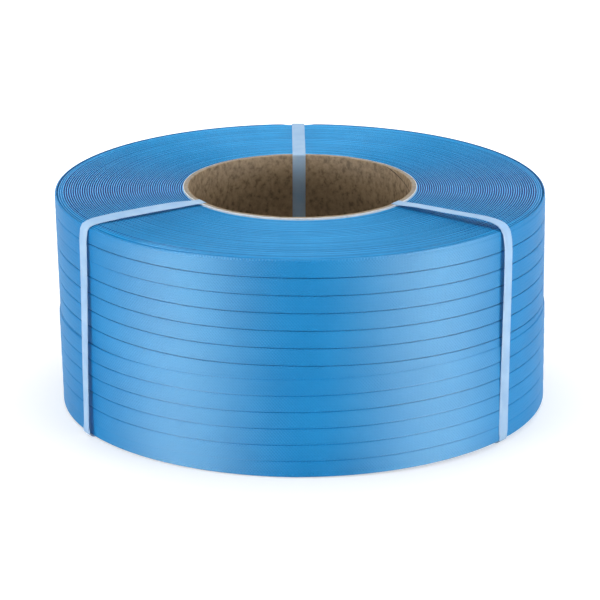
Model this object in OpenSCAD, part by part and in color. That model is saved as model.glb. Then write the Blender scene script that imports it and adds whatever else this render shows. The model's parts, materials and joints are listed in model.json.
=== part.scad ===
// Coil of embossed polypropylene strapping on a paper core, held by three tie bands,
// lying flat on one end. Z is the coil's axis, the front of the coil faces -Y, units are mm.

/* [Core] */
// inside diameter of the paper core
core_bore_d = 200; // [150:1:300]
// wall thickness of the paper core
core_wall = 5; // [3:0.5:9]
// how far the core stands above the winding
core_proud = 1.5; // [1.3:0.1:8]
// chamfer on the four edges of the core
core_chamfer = 0.5; // [0.2:0.1:0.6]

/* [Winding] */
// thickness of one layer of strap
strap_t = 1; // [0.6:0.05:1.2]
// layers of strap wound on the core
layers = 114; // [60:2:160]
// width of the winding along the coil's axis
wind_w = 195; // [150:1:240]
// full rows above the lap row
rows_up = 6; // [4:1:8]
// rows below the lap row, each partly covered by its neighbour
rows_low = 6; // [4:1:8]
// how much of each lower row its neighbour covers
low_lap = 0.7; // [0:0.1:2]
// how much of the lap row in the middle is covered
mid_lap = 3.6; // [0:0.1:5]
// width of the groove between two rows
groove_w = 0.4; // [0.2:0.1:1]
// depth of the groove between two rows
groove_d = 0.6; // [0.3:0.1:1.2]
// most that one turn's edge sinks below the end face
edge_sink = 0.45; // [0.2:0.05:0.8]
// how far the outermost turn drops at each rim
rim_drop = 1.5; // [1.5:0.1:3]
// turns over which the rim drops
rim_turns = 4; // [3:1:6]
// how far a row falls away towards its two edges
crown = 0.15; // [0.05:0.05:0.3]
// width over which a row falls away
crown_w = 2.5; // [1:0.1:3.5]

/* [Tie bands] */
// width of a tie band
tie_w = 12; // [9:0.5:19]
// thickness of a tie band
tie_t = 0.4; // [0.3:0.05:0.4]
// place of the left front tie, degrees from the front
tie_az_1 = -59; // [-70:0.5:-45]
// place of the right front tie, degrees from the front
tie_az_2 = 54.5; // [45:0.5:70]
// place of the back tie, degrees from the front
tie_az_3 = 180.5; // [170:0.5:190]
// how far a tie stands off the outer wall
tie_off = 1; // [1:0.1:2]

/* [Fits] */
// clearance between two pieces that lie against each other
seat = 0.03; // [0.02:0.01:0.05]

/* [Hidden] */
$fn = 128;
core_ri = core_bore_d / 2;
core_ro = core_ri + core_wall;
base_z = tie_t + seat;
row_w = (wind_w + rows_low * low_lap + mid_lap) / (rows_up + 1 + rows_low);
low_w = row_w - low_lap;
wind_top = base_z + wind_w;
core_top = wind_top + core_proud;
wind_ri = core_ro + seat;
wind_ro = core_ro + layers * strap_t;
turns = layers / 2; // two layers make one turn line on an end face
turn_t = (wind_ro - wind_ri) / turns;
// inner radius of a bend whose legs stand a and b off a rim and which lies on the rim's corner
function bend(a, b) = a + b + sqrt(2 * a * b) - seat;
tie_bend_up = bend(tie_off, core_proud + rim_drop);
tie_bend_low = bend(tie_off, rim_drop);
tie_bend_bore = core_chamfer + 2 * seat;
board = [198, 170, 132] / 255;
strap_blue = [46, 134, 208] / 255;
tie_pale = [190, 205, 226] / 255;

// depth of turn i below an end face, uneven as wound turns are; every third turn is at the face
function sink(i, s) = i % 3 == s ? 0 : abs(sin(i * 77.3 + s * 41)) * edge_sink;
// drop of turn i near the rim
function droop(i) = rim_drop * pow(max(0, i - turns + 1 + rim_turns) / rim_turns, 2);
function turn_z(i, s) = max(sink(i, s), droop(i));

// heights of the row lines above the winding's underside
row_lines = concat(
    [for (k = [1:rows_low]) k * low_w],
    [for (k = [rows_up:-1:1]) wind_w - k * row_w]);

// half section of the winding, walked once round
under = [for (i = [0:turns - 1]) for (e = [0, 1]) [wind_ri + (i + e) * turn_t, base_z + turn_z(i, 1)]];
groove = [[0, -crown_w], [crown, -groove_w / 2], [groove_d, -groove_w / 4],
    [groove_d, groove_w / 4], [crown, groove_w / 2], [0, crown_w]];
wall = [for (z = row_lines) for (p = groove) [wind_ro - p[0], base_z + z + p[1]]];
top = [for (i = [turns - 1:-1:0]) for (e = [1, 0]) [wind_ri + (i + e) * turn_t, wind_top - turn_z(i, 2)]];

module strap_winding() {
    color(strap_blue) rotate_extrude() polygon(concat(under, wall, top));
}

module core_tube() {
    c = core_chamfer;
    color(board) rotate_extrude() polygon([
        [core_ri + c, base_z], [core_ro - c, base_z], [core_ro, base_z + c], [core_ro, core_top - c],
        [core_ro - c, core_top], [core_ri + c, core_top], [core_ri, core_top - c], [core_ri, base_z + c]]);
}

// rectangle x0..x1, z0..z1 with its own radius at each corner
module soft_rect(x0, x1, z0, z1, bore_r, low_r, up_r) {
    polygon([
        [x0 + bore_r, z0], [x1 - low_r, z0], [x1, z0 + low_r], [x1, z1 - up_r],
        [x1 - up_r, z1], [x0 + bore_r, z1], [x0, z1 - bore_r], [x0, z0 + bore_r]]);
    for (c = [[x0 + bore_r, z0 + bore_r, bore_r], [x0 + bore_r, z1 - bore_r, bore_r],
              [x1 - low_r, z0 + low_r, low_r], [x1 - up_r, z1 - up_r, up_r]])
        translate([c[0], c[1]]) circle(r = c[2]);
}

// closed band through the bore and round the winding, its faces following their curves
module tie(az) {
    reach = wind_ro + tie_off + tie_t;
    color(tie_pale) rotate([0, 0, az - 90]) intersection() {
        rotate_extrude() difference() {
            soft_rect(core_ri - seat - tie_t, reach, 0, core_top + seat + tie_t,
                tie_bend_bore + tie_t, tie_bend_low + tie_t, tie_bend_up + tie_t);
            soft_rect(core_ri - seat, reach - tie_t, tie_t, core_top + seat,
                tie_bend_bore, tie_bend_low, tie_bend_up);
        }
        translate([core_ri / 2, -tie_w / 2, -tie_t]) cube([reach, tie_w, core_top + seat + 3 * tie_t]);
    }
}

module tie_band_1() { tie(tie_az_1); }
module tie_band_2() { tie(tie_az_2); }
module tie_band_3() { tie(tie_az_3); }

core_tube();
strap_winding();
tie_band_1();
tie_band_2();
tie_band_3();
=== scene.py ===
import bpy
import bmesh
import json
import math
import random
from mathutils import Matrix, Vector

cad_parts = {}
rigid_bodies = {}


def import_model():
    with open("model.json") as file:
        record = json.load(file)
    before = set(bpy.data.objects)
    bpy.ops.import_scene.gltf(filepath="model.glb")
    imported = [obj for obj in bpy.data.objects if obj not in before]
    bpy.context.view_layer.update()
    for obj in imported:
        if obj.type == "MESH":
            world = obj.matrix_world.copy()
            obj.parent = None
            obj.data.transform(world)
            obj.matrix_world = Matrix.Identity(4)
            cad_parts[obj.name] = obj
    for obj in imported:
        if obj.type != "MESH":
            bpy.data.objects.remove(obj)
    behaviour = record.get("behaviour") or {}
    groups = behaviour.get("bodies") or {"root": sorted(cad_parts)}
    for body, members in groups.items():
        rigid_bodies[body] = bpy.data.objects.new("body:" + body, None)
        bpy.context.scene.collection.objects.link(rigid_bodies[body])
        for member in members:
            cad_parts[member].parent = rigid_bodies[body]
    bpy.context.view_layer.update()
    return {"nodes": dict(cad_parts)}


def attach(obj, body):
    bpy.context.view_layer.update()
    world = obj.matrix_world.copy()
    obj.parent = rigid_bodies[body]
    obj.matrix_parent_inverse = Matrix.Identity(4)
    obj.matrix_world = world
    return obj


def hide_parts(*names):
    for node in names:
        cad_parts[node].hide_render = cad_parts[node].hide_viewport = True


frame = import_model()
random.seed(12)
print("frame loaded:", sorted(frame["nodes"]))

# camera: long lens, a little above the coil
view = {"distance": 2.9329, "elevation": 18.105, "lookHeight": 0.0883, "lens": 193.73, "roll": 0.0,
        "shiftX": 0.0, "shiftY": 0.0}


def addCamera(v):
    cam = bpy.data.cameras.new("photoCamera")
    cam.lens, cam.sensor_width = v["lens"], 36
    cam.shift_x, cam.shift_y = v["shiftX"], v["shiftY"]
    cam.clip_end = 30
    ob = bpy.data.objects.new("photoCamera", cam)
    bpy.context.scene.collection.objects.link(ob)
    up = math.radians(v["elevation"])
    ob.location = (0, -v["distance"] * math.cos(up), v["lookHeight"] + v["distance"] * math.sin(up))
    aim = (Vector((0, 0, v["lookHeight"])) - ob.location).to_track_quat("-Z", "Y")
    ob.rotation_euler = (aim.to_matrix() @ Matrix.Rotation(math.radians(v["roll"]), 3, "Z")).to_euler()
    bpy.context.scene.camera = ob
    return ob


addCamera(view)
print("camera placed")

# sizes of the coil, mm, as in the part's source
coil = {"boreR": 100.0, "coreWall": 5.0, "base": 0.43, "windingWidth": 195.0, "coreProud": 1.5,
        "strapThick": 1.0, "strapWide": 15.25, "outerR": 219.0, "turns": 57, "segments": 160}
topZ = coil["base"] + coil["windingWidth"]
coreR = coil["boreR"] + coil["coreWall"]
coreTop = topZ + coil["coreProud"]


def smooth(a, b, x):
    t = min(1, max(0, (x - a) / (b - a)))
    return t * t * (3 - 2 * t)


def between(knots, x):
    # value on a smooth line through the (x, value) knots
    if x <= knots[0][0]:
        return knots[0][1]
    for (xa, a), (xb, b) in zip(knots, knots[1:]):
        if x <= xb:
            return a + (b - a) * smooth(xa, xb, x)
    return knots[-1][1]


def around(az, r, z):
    # point at azimuth az from the front (-Y), radius and height in mm
    a = math.radians(az)
    return Vector((math.sin(a) * r, -math.cos(a) * r, z)) / 1000


# the winding isn't a true cylinder: it widens towards its top, and its foot sits to the right
settle = {"widen": 2.0, "footRight": 3.2, "firmTo": 150.0,
          "rimFall": [(-180, 0), (-75, 0.3), (-57, 0.7), (-45, 2.2), (-33, 2.0), (-20, 0.7), (-8, 0), (180, 0)]}


def wound(az, r, z):
    # point of the winding, settled as the real one is
    share, up = smooth(settle["firmTo"], coil["outerR"], r), z / topZ
    point = around(az, r + settle["widen"] * up * share, z)
    point.x += settle["footRight"] * (1 - up) * share / 1000
    return point


def meshPiece(name, points, faces, material, uvs=None, soft=True):
    mesh = bpy.data.meshes.new(name)
    mesh.from_pydata(points, [], faces)
    mesh.update()
    ob = bpy.data.objects.new(name, mesh)
    bpy.context.scene.collection.objects.link(ob)
    if uvs:
        layer = mesh.uv_layers.new(name="alongStrap")
        for loop in mesh.loops:
            layer.data[loop.index].uv = uvs[loop.vertex_index]
    bm = bmesh.new()
    bm.from_mesh(mesh)
    bmesh.ops.recalc_face_normals(bm, faces=bm.faces)
    bm.to_mesh(mesh)
    bm.free()
    mesh.polygons.foreach_set("use_smooth", [soft] * len(mesh.polygons))
    mesh.materials.append(material)
    return ob


def gridFaces(rows, cols, closeRows=False, closeCols=False):
    faces = []
    for i in range(rows if closeRows else rows - 1):
        for j in range(cols if closeCols else cols - 1):
            k, n = (i + 1) % rows, (j + 1) % cols
            faces.append((i * cols + j, i * cols + n, k * cols + n, k * cols + j))
    return faces


# node helper: builds a material from a few short calls
class Nodes:
    def __init__(self, name):
        self.mat = bpy.data.materials.new(name)
        self.mat.use_nodes = True
        self.tree = self.mat.node_tree
        self.tree.nodes.clear()
        self.out = self.add("ShaderNodeOutputMaterial")
        self.shader = self.add("ShaderNodeBsdfPrincipled")
        self.join(self.shader, 0, self.out, 0)

    def add(self, kind, **values):
        node = self.tree.nodes.new(kind)
        for key, value in values.items():
            setattr(node, key, value)
        return node

    def join(self, a, i, b, j):
        self.tree.links.new(a.outputs[i], b.inputs[j])

    def math(self, kind, a, b=None):
        node = self.add("ShaderNodeMath", operation=kind)
        for k, x in enumerate((a, b)):
            if x is None:
                continue
            if isinstance(x, (int, float)):
                node.inputs[k].default_value = x
            else:
                self.tree.links.new(x, node.inputs[k])
        return node.outputs[0]

    def noise(self, where, scale, detail=3.0, rough=0.5):
        node = self.add("ShaderNodeTexNoise")
        node.inputs["Scale"].default_value = scale
        node.inputs["Detail"].default_value = detail
        node.inputs["Roughness"].default_value = rough
        self.tree.links.new(where, node.inputs["Vector"])
        return node.outputs[0]

    def ramp(self, value, stops):
        node = self.add("ShaderNodeValToRGB")
        self.tree.links.new(value, node.inputs[0])
        while len(node.color_ramp.elements) < len(stops):
            node.color_ramp.elements.new(0.5)
        for el, (at, colour) in zip(node.color_ramp.elements, stops):
            el.position, el.color = at, (*colour, 1)
        return node.outputs[0]

    def bump(self, height, strength, distance, below=None):
        node = self.add("ShaderNodeBump")
        node.inputs["Strength"].default_value = strength
        node.inputs["Distance"].default_value = distance
        self.tree.links.new(height, node.inputs["Height"])
        if below is not None:
            self.tree.links.new(below, node.inputs["Normal"])
        return node.outputs[0]

    def set(self, **values):
        for key, value in values.items():
            self.shader.inputs[key.replace("_", " ")].default_value = value


# strap: embossed blue polypropylene; the edge colours are its blue painted lighter for the turns' top faces as painted
# top light, and the gap colour is painted shade
strapLook = {"blue": (0.003, 0.176, 0.440), "pale": (0.006, 0.208, 0.495), "roughness": 0.58, "specular": 0.42, "brushed": 0.95,
             "diamondLong": 2.7, "diamondWide": 3.1, "alongShare": 0.8, "embossDepth": 0.00026,
             "edgeLitBlue": (0.016, 0.305, 0.665), "edgeLitPale": (0.026, 0.345, 0.720), "gapShadeBlue": (0.003, 0.012, 0.17),
             "edgeRough": 0.34, "edgeSpecular": 0.32, "edgeBrushed": 0.85, "gloss": (0.72, 1.0, 1.0)}


def strapMaterial(p):
    n = Nodes("strapEmbossed")
    uv = n.add("ShaderNodeUVMap", uv_map="alongStrap")
    parts = n.add("ShaderNodeSeparateXYZ")
    n.join(uv, 0, parts, 0)
    along = n.math("SINE", n.math("MULTIPLY", parts.outputs[0], 2 * math.pi / p["diamondLong"]))
    across = n.math("SINE", n.math("MULTIPLY", parts.outputs[1], 2 * math.pi / p["diamondWide"]))
    waffle = n.math("ADD", n.math("MULTIPLY", across, 1 - p["alongShare"]),
                    n.math("MULTIPLY", n.math("MULTIPLY", along, across), p["alongShare"]))
    coord = n.add("ShaderNodeTexCoord")
    broad = n.noise(coord.outputs["Object"], 14.0, 2.0)
    fine = n.noise(coord.outputs["Object"], 420.0, 2.0)
    n.tree.links.new(n.ramp(broad, [(0.3, p["blue"]), (0.7, p["pale"])]), n.shader.inputs["Base Color"])
    rough = n.math("MULTIPLY_ADD", fine, 0.1)
    rough.node.inputs[2].default_value = p["roughness"] - 0.05
    n.tree.links.new(rough, n.shader.inputs["Roughness"])
    n.set(Specular_IOR_Level=p["specular"], Specular_Tint=(*p["gloss"], 1), Anisotropic=p["brushed"], Anisotropic_Rotation=0.25)
    n.tree.links.new(n.add("ShaderNodeTangent", direction_type="RADIAL", axis="Z").outputs[0], n.shader.inputs["Tangent"])
    n.tree.links.new(n.bump(waffle, 0.6, p["embossDepth"]), n.shader.inputs["Normal"])
    return n.mat


def turnMaterial(name, p, colours, specular):
    n = Nodes(name)
    coord = n.add("ShaderNodeTexCoord")
    broad = n.noise(coord.outputs["Object"], 30.0, 3.0)
    fine = n.noise(coord.outputs["Object"], 900.0, 2.0)
    n.tree.links.new(n.ramp(broad, [(0.3, colours[0]), (0.7, colours[1])]), n.shader.inputs["Base Color"])
    rough = n.math("MULTIPLY_ADD", fine, 0.12)
    rough.node.inputs[2].default_value = p["edgeRough"]
    n.tree.links.new(rough, n.shader.inputs["Roughness"])
    n.set(Specular_IOR_Level=specular, Specular_Tint=(*p["gloss"], 1), Anisotropic=p["edgeBrushed"], Anisotropic_Rotation=0.25)
    n.tree.links.new(n.add("ShaderNodeTangent", direction_type="RADIAL", axis="Z").outputs[0], n.shader.inputs["Tangent"])
    n.tree.links.new(n.bump(fine, 0.25, 0.0001), n.shader.inputs["Normal"])
    return n.mat


strap = strapMaterial(strapLook)
# strapEdgesLit: the strap blue painted lighter on the turns' crests and underside, a painted top light
strapEdgeLit = turnMaterial("strapEdgesLit", strapLook, (strapLook["edgeLitBlue"], strapLook["edgeLitPale"]), strapLook["edgeSpecular"])
strapUnder = turnMaterial("strapUnder", strapLook, (strapLook["blue"], strapLook["pale"]), 0.1)
# strapGapsShade: a near-black blue painted on the gap faces between the turns, a painted shade in the gaps
strapGapShade = turnMaterial("strapGapsShade", strapLook, (strapLook["gapShadeBlue"], [x * 1.2 for x in strapLook["gapShadeBlue"]]), 0.1)

# turned body of the winding: each visible turn is a rounded edge and a gap where the next layer has left the end
turnShape = {"crest": 0.97, "round": 0.34, "gapDeep": 2.3, "gapVary": 0.6, "edgeWander": 0.25,
             "rimDrop": (0.6, 0.3, 0.15, 0.05), "underGap": 0.5, "layersOutside": 3}


def turnedBody(c, p):
    inner, outer = coreR + 0.03, c["outerR"] - p["layersOutside"] * c["strapThick"] - 0.03
    count, seg = c["turns"] - 1, c["segments"]
    wander = [(random.uniform(0, 360), random.uniform(0, 360), random.uniform(0.3, 1)) for _ in range(count)]

    def profile(az):
        top, under = [], []
        fall = between(settle["rimFall"], (az + 180) % 360 - 180)
        for i in range(count):
            a, b, amount = wander[i]
            drop = p["rimDrop"][count - 1 - i] * (1 + 1.3 * fall) if count - 1 - i < len(p["rimDrop"]) else 0
            sunk = p["edgeWander"] * amount * (1 - math.cos(math.radians(az - a))) / 2
            deep = p["gapDeep"] + p["gapVary"] * math.sin(math.radians(az - b)) * amount
            r, end = inner + i * (outer - inner) / count, inner + (i + 1) * (outer - inner) / count
            z = topZ - drop - sunk
            top += [(r + 0.02, z - p["round"]), (r + 0.24, z - 0.06), (r + p["crest"] / 2, z), (r + p["crest"] - 0.22, z - 0.06),
                    (r + p["crest"], z - p["round"]), (r + p["crest"] + 0.08, z - deep), (end - 0.06, z - deep)]
            low = c["base"] + drop + sunk * 0.6
            under += [(r + 0.02, low), (r + p["crest"], low), ((r + p["crest"] + end) / 2, low + p["underGap"])]
        low = c["outerR"] - c["strapThick"] - 0.03
        wall = [(outer, top[-1][1] - 1), (outer, 62), (low, 60.5), (low, 3.5)]
        return [(inner, topZ - 1.2)] + top + wall + under[::-1] + [(inner, c["base"] + 0.5)]

    points = []
    for s in range(seg):
        az = 180.5 + s * 360 / seg
        points += [wound(az, r, z) for r, z in profile(az)]
    rows = len(points) // seg
    ob = meshPiece("windingTurns", points, gridFaces(seg, rows, True, True), strapEdgeLit)
    ob.data.materials.append(strapGapShade)
    ob.data.materials.append(strapUnder)
    # gap faces between the turns get the painted-shade gap material, except in the last three turns by the rim; crests
    # and underside get the edge material, painted lighter; the wall rows below the last turn get strapUnder
    kinds = [0] * rows
    for k in range(count * 7):
        kinds[k + 1] = 0 if k % 7 < 4 else 1 if k < (count - 3) * 7 else 2  # no dark line along the rim
    kinds[count * 7 + 1:count * 7 + 4] = [2] * 3
    for k, face in enumerate(ob.data.polygons):
        face.material_index = kinds[k % rows]
    return ob


body = turnedBody(coil, turnShape)
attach(body, "root")
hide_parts("strap_winding")
print("turned body:", len(body.data.polygons), "faces")

# outermost layers, three strap ribbons: one ends its layer at the rim, the next winds down, the newest winds up over it
rowShape = {"pitchDown": 15.6, "pitchUp": 14.85, "crown": 0.22, "edge": 1.2, "lapLift": 0.2, "step": 2.0, "edgeRound": 0.55, "newestTrim": 0.75,
            "pressAz": (-57.5, 54.0, 180.5), "pressWide": 2.6, "pressDeep": 1.6,
            "sideways": [(-180, 0), (-70, -1.0), (-50, -2.0), (-30, -1.9), (0, -0.5), (20, -0.6), (60, -1.0), (180, 0)],
            "upSideways": [(-180, 0), (-70, 0.3), (-50, -1.2), (-25, -1.2), (0, -0.2), (30, 0.2), (60, -0.8), (180, 0)]}


def olderEdge(turn, p):
    # upper edge of the older ribbon, mm below the rim; turn is degrees wound, 0 at the front of the first row
    az = (turn + 180) % 360 - 180
    start = 6.0 * math.exp(-((turn - 225) / 55) ** 2)
    return 0.5 + p["pitchDown"] * max(0, turn) / 360 - between(p["sideways"], az) * smooth(-90, 60, turn) + start


def newestEdge(turn, p):
    # lower edge of the newest ribbon, mm above the winding's underside
    if turn <= 0:
        return 0.25
    az = (turn + 180) % 360 - 180
    return 0.4 + p["pitchUp"] * turn / 360 + between(p["upSideways"], az) * smooth(0, 200, turn)


def ribbon(name, first, last, lowEdge, radius, lift, c, p, trim=0.0):
    wide, thick = c["strapWide"] - trim, c["strapThick"]
    n = int(round((last - first) / p["step"]))
    soft = p["edgeRound"]
    low = [(0.0, -soft), (0.12, -soft * 0.55), (0.35, -soft * 0.2), (0.8, 0), (p["edge"] + 1, 0)]
    shape = low + [(wide / 2, 0)] + [(wide - v, out) for v, out in reversed(low)]
    shape += [(wide, -thick + 0.1), (wide - 0.4, -thick), (wide / 2, -thick), (0.4, -thick), (0, -thick + 0.1)]
    points, uvs = [], []
    for s in range(n + 1):
        turn = first + (last - first) * s / n
        az = (turn + 180) % 360 - 180
        low = lowEdge(turn)
        press = p["pressDeep"] * sum(math.exp(-(((az - a + 180) % 360 - 180) / p["pressWide"]) ** 2) for a in p["pressAz"])
        press += between(settle["rimFall"], az)
        for v, out in shape:
            fall = p["crown"] * max(0, 1 - min(v, wide - v) / (2 * p["edge"])) ** 2
            lap = lift * (max(0, 1 - v / 5) - max(0, 1 - (wide - v) / 4))
            near = smooth(topZ - 6, topZ, low + v)  # the ties press the rim's edge down and in
            points.append(wound(az, radius + out - fall + lap - 0.5 * press * near, low + v - press * near))
            uvs.append((math.radians(turn) * radius, v))
    m = len(shape)
    faces = gridFaces(n + 1, m, False, True)
    faces += [tuple(range(m)), tuple(n * m + k for k in reversed(range(m)))]
    return meshPiece(name, points, faces, strap, uvs)


def wallRibbons(c, p):
    rim = ribbon("strapRimRow", -179.5, 180.3, lambda t: topZ - 0.35 - c["strapWide"],
                 c["outerR"] - 1.35 * c["strapThick"], 0.0, c, p)
    older = ribbon("strapOlderRows", -179.5, 2660.5, lambda t: topZ - olderEdge(t, p) - c["strapWide"],
                   c["outerR"] - c["strapThick"], 0.0, c, p)
    newest = ribbon("strapNewestRows", -179.5, 1980.5, lambda t: c["base"] + newestEdge(t, p),
                    c["outerR"], p["lapLift"], c, p, p["newestTrim"])
    return rim, older, newest


for piece in wallRibbons(coil, rowShape):
    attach(piece, "root")
print("wall ribbons done")

# paper core: white outer wrap, board, brown inner ply with its spiral seam
coreLook = {"kraft": (0.248, 0.175, 0.100), "kraftPale": (0.335, 0.243, 0.143), "kraftDark": (0.145, 0.101, 0.057),
            "board": (0.27, 0.235, 0.190), "wrap": (0.66, 0.68, 0.69), "wrapWide": 0.7, "plyWide": 0.8,
            "seam": (0.045, 0.030, 0.020), "seamPitch": 140.0, "seamTop": 127.0, "seamWide": 0.6, "seamProud": 0.12,
            "roughness": 0.75}


def coreMaterial(p, name, colours, grain):
    n = Nodes(name)
    coord = n.add("ShaderNodeTexCoord")
    flat = n.add("ShaderNodeMapping")
    flat.inputs["Scale"].default_value = (1, 1, 0.8)
    n.join(coord, "Object", flat, 0)
    blot = n.noise(flat.outputs[0], 210.0, 5.0, 0.6)
    fibre = n.noise(coord.outputs["Object"], grain, 6.0, 0.7)
    both = n.math("MULTIPLY_ADD", blot, 0.65)
    both.node.inputs[2].default_value = 0
    mixed = n.math("MULTIPLY_ADD", fibre, 0.35)
    n.tree.links.new(both, mixed.node.inputs[2])
    n.tree.links.new(n.ramp(mixed, [(0.39, colours[0]), (0.48, colours[1]), (0.62, colours[2])]), n.shader.inputs["Base Color"])
    n.set(Roughness=p["roughness"], Specular_IOR_Level=0.25)
    n.tree.links.new(n.bump(fibre, 0.35, 0.0003), n.shader.inputs["Normal"])
    return n.mat


def coreTube(c, p):
    low, high = c["base"], coreTop
    ri, ro = c["boreR"], coreR
    kraft = coreMaterial(p, "kraftPly", (p["kraftDark"], p["kraft"], p["kraftPale"]), 240.0)
    board = coreMaterial(p, "boardEdge", ([x * 0.75 for x in p["board"]], p["board"], [x * 1.2 for x in p["board"]]), 700.0)
    wrap = coreMaterial(p, "whiteWrap", ([x * 0.85 for x in p["wrap"]], p["wrap"], p["wrap"]), 500.0)
    seam = coreMaterial(p, "plySeam", (p["seam"], p["seam"], p["kraftDark"]), 300.0)
    plies = [(ri, -0.45, 0), (ri + 0.15, -0.1, 0), (ri + 0.35, 0, 0), (ri + p["plyWide"], 0, 0), (ri + p["plyWide"] + 0.1, -0.2, 1),
             (ri + 2.1, -0.08, 1), (ri + 2.2, -0.25, 1), (ri + 2.3, -0.08, 1), (ro - p["wrapWide"] - 0.1, -0.2, 1),
             (ro - p["wrapWide"], 0, 2), (ro - 0.3, 0, 2), (ro - 0.08, -0.12, 2), (ro, -0.4, 2)]
    profile = [(r, high + d, k) for r, d, k in plies] + [(r, low - d, k) for r, d, k in reversed(plies)]
    profile += [(ri, low + 0.45 + (high - low - 0.9) * k / 12, 0) for k in range(1, 12)]
    seg, m = c["segments"], len(profile)
    points = []
    for s in range(seg):
        az = s * 360 / seg
        rough = 0.06 * math.sin(az * 0.21) + 0.05 * math.sin(az * 0.53 + 1)
        points += [around(az, r, z + (rough if z > high - 1 else 0)) for r, z, _ in profile]
    faces = gridFaces(seg, m, True, True)
    kinds = [min(profile[j][2], profile[(j + 1) % m][2]) if j < 13 else profile[j][2] for _ in range(seg) for j in range(m)]
    # edge of the inner ply, a low ridge that runs down the bore
    turns = (high - low - 0.6) / p["seamPitch"] * 360
    n = int(turns / 3)
    first = len(points)
    for s in range(n + 1):
        az = p["seamTop"] - turns * s / n
        z = high - 0.3 - (high - low - 0.6) * s / n
        wide = p["seamWide"] * (0.8 + 0.3 * math.sin(s * 0.7))
        for dz, dr in ((wide, 0.05), (wide * 0.6, -p["seamProud"]), (-wide * 0.6, -p["seamProud"]), (-wide, 0.05)):
            points.append(around(az, ri + dr, min(high - 0.1, max(low + 0.1, z + dz))))
    ridge = [tuple(first + k for k in f) for f in gridFaces(n + 1, 4, False, True)]
    faces += ridge + [tuple(first + k for k in range(4)), tuple(first + n * 4 + k for k in (3, 2, 1, 0))]
    kinds += [3] * (len(ridge) + 2)
    ob = meshPiece("paperCore", points, faces, kraft, soft=False)
    for material in (board, wrap, seam):
        ob.data.materials.append(material)
    for face, kind in zip(ob.data.polygons, kinds):
        face.material_index = kind
        face.use_smooth = kind == 0
    return ob


core = coreTube(coil, coreLook)
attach(core, "root")
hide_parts("core_tube")
print("paper core done")

# tie bands: pale see-through strips; each lies in an upright plane from its place in the bore to its place on the rim,
# and line is its middle from the core's edge outwards and down the wall: (distance from the bore, height over the winding)
tieLook = {"wide": 12.0, "thick": 0.4, "pale": (0.37, 0.575, 0.82), "streak": (0.45, 0.65, 0.86), "roughness": 0.4,
           "alpha": 0.66, "specular": 0.15, "ribPitch": 2.2}
tieLie = {
    "tieLeft": {"node": "tie_band_1", "boreAz": -58.9, "rimAz": -57.5,
                "line": [(20, 2.4), (37, 2.8), (53, 2.9), (69, 2.8), (86, 2.7), (101, 2.2), (109, 1.7), (115.3, 0.7), (119.4, -0.9),
                         (121.5, -4.4), (122.3, -11), (122.4, -22), (122.0, -50), (121.6, -90), (121.2, -130), (120.7, -165)],
                "lean": 4.0, "twist": [(6, 0), (30, -9), (108, -10), (124, -2), (160, 0), (300, 7)]},
    "tieRight": {"node": "tie_band_2", "boreAz": 56.5, "rimAz": 53.4,
                 "line": [(23.5, 3.1), (41, 3.8), (58.5, 4.3), (76, 5.0), (93, 5.7), (101.5, 5.5), (110, 4.8), (116, 3.2), (119.5, 0.6),
                          (121.7, -3), (123.2, -9.5), (124, -18), (124.1, -30), (123.9, -60), (123.3, -100), (122.7, -140),
                          (122.3, -170)],
                 "lean": 0.0, "twist": [(6, 0), (30, -3), (108, -3), (124, 0), (160, 0), (300, 6)]},
    "tieBack": {"node": "tie_band_3", "boreAz": 180.5, "rimAz": 180.5,
                "line": [(20, 1.6), (45, 1.4), (70, 1.3), (95, 1.3), (108, 1.3), (115.5, 0.8), (119.5, -0.9), (122, -4), (123.2, -10),
                         (123.2, -40), (122.4, -90), (121.9, -130), (121.5, -165)],
                "lean": 3.0, "twist": [(6, 0), (300, 0)]},
}


def tieMaterial(p):
    n = Nodes("paleTie")
    uv = n.add("ShaderNodeUVMap", uv_map="alongStrap")
    parts = n.add("ShaderNodeSeparateXYZ")
    n.join(uv, 0, parts, 0)
    rib = n.math("SINE", n.math("MULTIPLY", parts.outputs[0], 2 * math.pi / p["ribPitch"]))
    cross = n.math("SINE", n.math("MULTIPLY", parts.outputs[1], 2 * math.pi / 1.5))
    coord = n.add("ShaderNodeTexCoord")
    cloud = n.noise(coord.outputs["Object"], 60.0, 4.0)
    n.tree.links.new(n.ramp(cloud, [(0.35, p["pale"]), (0.65, p["streak"])]), n.shader.inputs["Base Color"])
    n.set(Roughness=p["roughness"], Alpha=p["alpha"], Specular_IOR_Level=p["specular"])
    n.tree.links.new(n.bump(n.math("MULTIPLY", rib, cross), 0.4, 0.00008), n.shader.inputs["Normal"])
    return n.mat


def arc(cx, cz, r, a0, a1, n):
    return [(cx + r * math.cos(math.radians(a0 + (a1 - a0) * k / n)), cz + r * math.sin(math.radians(a0 + (a1 - a0) * k / n)))
            for k in range(n + 1)]


def softLine(knots, step):
    # the knots joined by a rounded line, with a point about every step mm
    ends = [knots[0]] + knots + [knots[-1]]
    out = []
    for a, b, c, d in zip(ends, ends[1:], ends[2:], ends[3:]):
        n = max(1, int(math.hypot(c[0] - b[0], c[1] - b[1]) / step))
        for k in range(n):
            t = k / n
            out.append(tuple(0.5 * (2 * q + (r - p) * t + (2 * p - 5 * q + 4 * r - w) * t * t + (3 * q - p - 3 * r + w) * t ** 3)
                             for p, q, r, w in zip(a, b, c, d)))
    return out + [knots[-1]]


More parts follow.
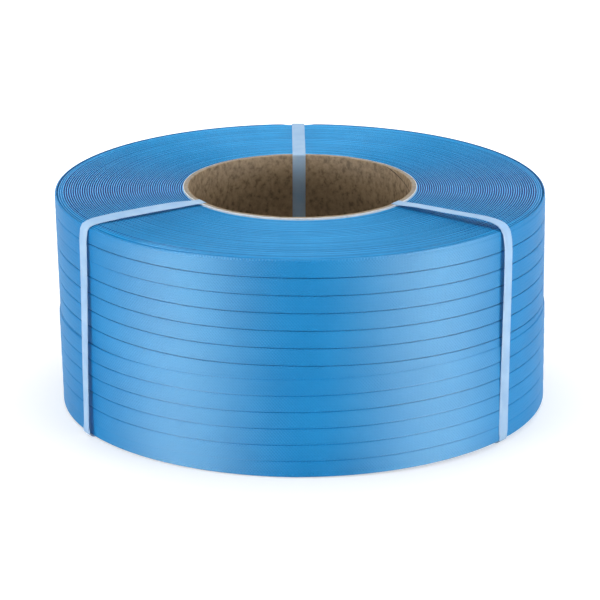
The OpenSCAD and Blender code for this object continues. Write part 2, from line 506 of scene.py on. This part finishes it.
def tieLoop(c, p, lie):
    # middle line of the band in its own plane, once round the coil's wall, as (distance from the bore, height)
    half, over, foot = p["thick"] / 2, 0.9, 4.8
    bore, top = -0.03 - half, coreTop + 0.03 + half
    path = [(bore, z) for z in range(20, 190, 12)]
    path += arc(bore + over, top - over, over, 180, 90, 5)
    path.append((c["coreWall"] - 0.5, top))
    path += softLine([(c["coreWall"] + 1.5, top)] + [(s, topZ + h) for s, h in lie["line"]], 4)
    last = path[-1]
    path += softLine([(last[0], last[1] - 4), (last[0], half + foot + 1)], 4)
    path += arc(last[0] - foot, half + foot, foot, 0, -90, 8)
    path += [(s, half) for s in range(int(last[0]) - 12, 10, -12)]
    path += arc(bore + over, half + over, over, -90, -180, 5)
    return path


def tieBand(name, c, p, lie, material):
    loop = tieLoop(c, p, lie)
    n = len(loop)
    w, h = p["wide"] / 2, p["thick"] / 2
    section = [(-w, -h * 0.5), (-w, h * 0.5), (-w + 0.15, h), (-w / 3, h), (w / 3, h), (w - 0.15, h), (w, h * 0.5), (w, -h * 0.5),
               (w - 0.15, -h), (w / 3, -h), (-w / 3, -h), (-w + 0.15, -h)]
    start, rim = around(lie["boreAz"], c["boreR"], 0) * 1000, around(lie["rimAz"], c["outerR"], 0) * 1000
    ahead = (rim - start).normalized()
    aside = Vector((-ahead.y, ahead.x, 0))
    points, uvs, length, gone = [], [], 0.0, 0.0
    for k, (s, z) in enumerate(loop):
        before, after = loop[k - 1], loop[(k + 1) % n]
        along = Vector((after[0] - before[0], after[1] - before[1])).normalized()
        if k:
            length += math.hypot(s - loop[k - 1][0], z - loop[k - 1][1])
        onTop = s > 1 and z > c["base"] + 6
        if onTop:
            gone += math.hypot(s - before[0], z - before[1])
        shift = -lie["lean"] * smooth(topZ, 5, z) * smooth(0, 118, s) if onTop else -lie["lean"] * smooth(0, 118, s)
        middle = start + ahead * s + aside * shift
        out2 = Vector((middle.x, middle.y, 0)).normalized()
        across = Vector((-out2.y, out2.x, 0))
        face = out2 * -along.y + Vector((0, 0, along.x))  # square to the band's face, away from the coil
        t = math.radians(between(lie["twist"], gone)) if onTop else 0
        for a, b in section:
            a2, b2 = a * math.cos(t) - b * math.sin(t), a * math.sin(t) + b * math.cos(t)
            points.append((middle + across * a2 + face * b2 + Vector((0, 0, z))) / 1000)
            uvs.append((length, a))
    return meshPiece(name, points, gridFaces(n, len(section), True, True), material, uvs)


tiePlastic = tieMaterial(tieLook)
for tieName, lie in tieLie.items():
    band = tieBand(tieName, coil, tieLook, lie, tiePlastic)
    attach(band, "root")
    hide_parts(lie["node"])
print("tie bands done")

# white studio: floor, even surround, two tall soft lights beside the camera and one overhead
studio = {"floorWhite": 0.62, "floorLift": (0.48, 0.85), "liftFrom": (0.25, 0.9), "surround": 0.15,
          "sideAz": (-54.0, 59.0), "sideAway": 1.8, "sideLight": 22.0, "sideWide": 1.0, "sideTall": 0.6,
          "sheenLight": 145.0, "sheenWide": 1.4, "sheenTall": 0.4, "topLight": 46.0}


def floorMaterial(p):
    n = Nodes("paleFloor")
    n.set(Base_Color=(p["floorWhite"],) * 3 + (1,), Roughness=0.9, Specular_IOR_Level=0.1)
    noise = n.noise(n.add("ShaderNodeTexCoord").outputs["Object"], 3.0)
    n.tree.links.new(n.bump(noise, 0.02, 0.001), n.shader.inputs["Normal"])
    path = n.add("ShaderNodeLightPath")
    glow = n.add("ShaderNodeEmission")
    away = n.add("ShaderNodeVectorMath", operation="LENGTH")
    n.tree.links.new(noise.node.inputs["Vector"].links[0].from_socket, away.inputs[0])
    lift = n.add("ShaderNodeMapRange", interpolation_type="SMOOTHSTEP")
    for key, value in zip(("From Min", "From Max", "To Min", "To Max"), p["liftFrom"] + p["floorLift"]):
        lift.inputs[key].default_value = value
    n.tree.links.new(away.outputs["Value"], lift.inputs["Value"])
    n.tree.links.new(lift.outputs[0], glow.inputs["Strength"])
    seen = n.add("ShaderNodeMixShader")
    both = n.add("ShaderNodeAddShader")
    n.join(n.shader, 0, both, 0)
    n.join(glow, 0, both, 1)
    shown = n.math("MAXIMUM", n.math("MAXIMUM", path.outputs["Is Camera Ray"], path.outputs["Is Glossy Ray"]),
                   path.outputs["Is Transmission Ray"])
    n.tree.links.new(shown, seen.inputs[0])
    n.join(n.shader, 0, seen, 1)
    n.join(both, 0, seen, 2)
    n.join(seen, 0, n.out, 0)
    return n.mat


def addFloor(p):
    size = 9.0
    points = [Vector((x * size, y * size, 0)) for x, y in ((-1, -1), (1, -1), (1, 1), (-1, 1))]
    ob = meshPiece("floor", points, [(0, 1, 2, 3)], floorMaterial(p))


def softLight(name, watts, wide, tall, place, aim, sheenOnly=False):
    light = bpy.data.lights.new(name, "AREA")
    light.shape, light.size, light.size_y, light.energy = "RECTANGLE", wide, tall, watts
    ob = bpy.data.objects.new(name, light)
    bpy.context.scene.collection.objects.link(ob)
    ob.location = place
    ob.rotation_euler = (Vector(aim) - Vector(place)).to_track_quat("-Z", "Y").to_euler()
    ob.visible_diffuse = not sheenOnly


def addStudio(p):
    world = bpy.data.worlds.new("studio")
    bpy.context.scene.world = world
    world.use_nodes = True
    tree = world.node_tree
    tree.nodes.clear()
    out = tree.nodes.new("ShaderNodeOutputWorld")
    path = tree.nodes.new("ShaderNodeLightPath")
    seen, lit, mix = (tree.nodes.new(k) for k in ("ShaderNodeBackground", "ShaderNodeBackground", "ShaderNodeMixShader"))
    seen.inputs[1].default_value, lit.inputs[1].default_value = 1.0, p["surround"]
    seen.inputs[0].default_value = lit.inputs[0].default_value = (1, 1, 1, 1)
    most = [tree.nodes.new("ShaderNodeMath") for _ in range(2)]
    for node in most:
        node.operation = "MAXIMUM"
    tree.links.new(path.outputs["Is Camera Ray"], most[0].inputs[0])
    tree.links.new(path.outputs["Is Glossy Ray"], most[0].inputs[1])
    tree.links.new(most[0].outputs[0], most[1].inputs[0])
    tree.links.new(path.outputs["Is Transmission Ray"], most[1].inputs[1])
    tree.links.new(most[1].outputs[0], mix.inputs[0])
    tree.links.new(lit.outputs[0], mix.inputs[1])
    tree.links.new(seen.outputs[0], mix.inputs[2])
    tree.links.new(mix.outputs[0], out.inputs[0])
    for az in p["sideAz"]:
        a = math.radians(az)
        for name, sheenOnly in (("side", False), ("sheen", True)):
            middle = p[name + "Tall"] / 2 + 0.02
            place = (math.sin(a) * p["sideAway"], -math.cos(a) * p["sideAway"], middle)
            softLight(name + "Light", p[name + "Light"], p[name + "Wide"], p[name + "Tall"], place, (0, 0, middle), sheenOnly)
    softLight("topLight", p["topLight"], 1.6, 1.6, (0, 0.2, 2.2), (0, 0, 0))


addFloor(studio)
addStudio(studio)
bpy.context.scene.view_settings.view_transform = "Standard"
print("studio done")
